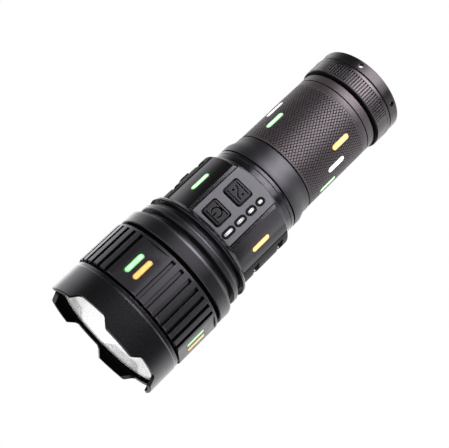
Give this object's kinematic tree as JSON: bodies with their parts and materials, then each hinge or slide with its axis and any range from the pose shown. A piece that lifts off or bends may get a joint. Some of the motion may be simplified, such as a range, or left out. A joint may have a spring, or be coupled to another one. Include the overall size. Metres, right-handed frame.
{
  "type": "rechargeable flashlight",
  "caption": "Handheld LED flashlight with a crenellated bezel, fluted head, side push buttons, a knurled battery tube and a screw-off tail cap.",
  "frame": {"origin": "centre of the tail's end face, on which the flashlight stands", "axes": "+Z along the axis from the tail to the head, -Y out of the control panel"},
  "size_m": [0.0516, 0.0516, 0.1451],
  "materials": {
    "black_anodised": "hard black anodising, satin",
    "panel_anodised": "grey-black anodising, fine blasted",
    "button_black": "satin moulded keys",
    "rubber_black": "matt silicone rubber",
    "glow_green": "luminous inlay",
    "glow_amber": "luminous inlay",
    "glow_white": "luminous inlay",
    "window_white": "diffusing light window",
    "reflector_silver": "vacuum-coated mirror finish",
    "lens_glass": "coated flat glass",
    "bare_steel": "bright steel",
    "spring_gold": "gold-plated contact spring",
    "board_green": "circuit board with solder mask",
    "board_copper": "copper-core board",
    "chip_black": "moulded electronic parts",
    "led_yellow": "phosphor under a silicone dome",
    "white_plastic": "white moulded plastic",
    "wire_red": "silicone wire insulation",
    "cell_body": "drawn metal can",
    "cell_wrap_blue": "shrink wrap",
    "seal_grey": "grey silicone"
  },
  "bodies": {
    "torch": {"rear_seal": "rubber_black", "battery_tube": "black_anodised", "front_seal": "rubber_black", "cell_can": "cell_body", "cell_wrap": "cell_wrap_blue", "cell_insulator": "white_plastic", "cell_cap": "bare_steel", "switch_housing": "black_anodised", "control_panel": "panel_anodised", "keypad_seal": "rubber_black", "tact_switches": "bare_steel", "indicator_leds": "white_plastic", "charge_windows": "window_white", "switch_board": "board_green", "port_side_cover": "black_anodised", "plain_side_cover": "black_anodised", "side_screws": "bare_steel", "charge_port": "bare_steel", "driver_spring": "spring_gold", "driver_ring": "spring_gold", "driver_board": "board_green", "driver_components": "chip_black", "led_leads": "wire_red", "head_body": "black_anodised", "led_board": "board_copper", "led_emitter": "led_yellow", "emitter_gasket": "white_plastic", "reflector": "reflector_silver", "lens_seal": "seal_grey", "lens": "lens_glass", "head_sleeve": "black_anodised", "bezel_ring": "black_anodised", "green_bars": "glow_green", "amber_bars": "glow_amber", "white_bars": "glow_white"},
    "power_button": {"power_button": "button_black"},
    "mode_button": {"mode_button": "button_black"},
    "port_cover": {"port_cover": "rubber_black"},
    "lanyard_ring": {"lanyard_ring": "black_anodised"},
    "tail_cap": {"tail_cap": "black_anodised", "snap_ring": "bare_steel", "tail_board": "board_green", "tail_spring": "spring_gold"}
  },
  "joints": [
    {"name": "power_press", "type": "slide", "parent": "torch", "child": "power_button", "axis": [0, 1, 0], "range_m": [0, 0.0006], "stiffness_N_per_m": 800},
    {"name": "mode_press", "type": "slide", "parent": "torch", "child": "mode_button", "axis": [0, 1, 0], "range_m": [0, 0.0006], "stiffness_N_per_m": 800},
    {"name": "port_cover_swing", "type": "hinge", "parent": "torch", "child": "port_cover", "pos_m": [0.02025, 0.0066, 0.0792], "axis": [0, 0, 1], "range_deg": [0, 110], "stiffness_Nm_per_rad": 0.003},
    {"name": "tail_advance", "type": "slide", "parent": "torch", "child": "lanyard_ring", "axis": [0, 0, -1], "range_m": [0, 0.0045]},
    {"name": "tail_turn", "type": "hinge", "parent": "lanyard_ring", "child": "tail_cap", "pos_m": [0, 0, 0.01], "axis": [0, 0, -1], "range_deg": [0, 1080]}
  ],
  "couplings": [
    {"joint": "tail_advance", "follows": "tail_turn", "m_per_rad": 0.0002387}
  ]
}
